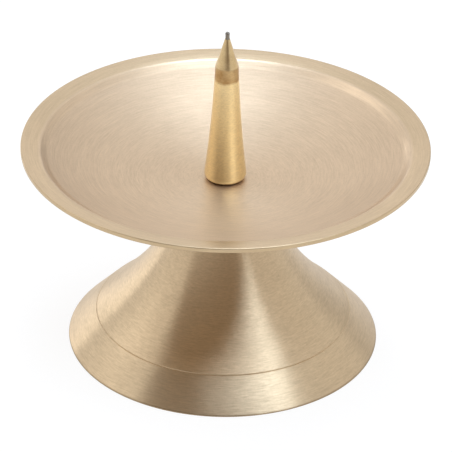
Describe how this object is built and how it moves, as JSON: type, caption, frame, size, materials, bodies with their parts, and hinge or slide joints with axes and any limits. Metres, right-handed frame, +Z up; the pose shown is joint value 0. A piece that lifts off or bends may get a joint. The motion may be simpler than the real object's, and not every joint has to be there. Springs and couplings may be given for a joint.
{
  "type": "pricket candle stand",
  "caption": "Low satin brass pricket candle stand: a dished drip pan on a hollow trumpet foot, with a tapered spike in the middle that holds a pillar candle.",
  "frame": {"origin": "on the table, at the stand's axis", "axes": "+Z up along the stand's axis, from the foot to the pricket's point; X and Y are level and equivalent"},
  "size_m": [0.1, 0.1, 0.0846],
  "materials": {
    "satin_brass": "satin, brushed round the axis",
    "turned_brass": "smooth turned",
    "bright_steel": "plain drawn wire",
    "zinc_steel": "zinc plated"
  },
  "bodies": {
    "root": {"foot": "satin_brass", "drip_pan": "satin_brass", "pricket": "turned_brass", "needle_tip": "bright_steel", "plain_washer": "zinc_steel", "spring_washer": "zinc_steel", "hex_nut": "zinc_steel"}
  },
  "joints": []
}
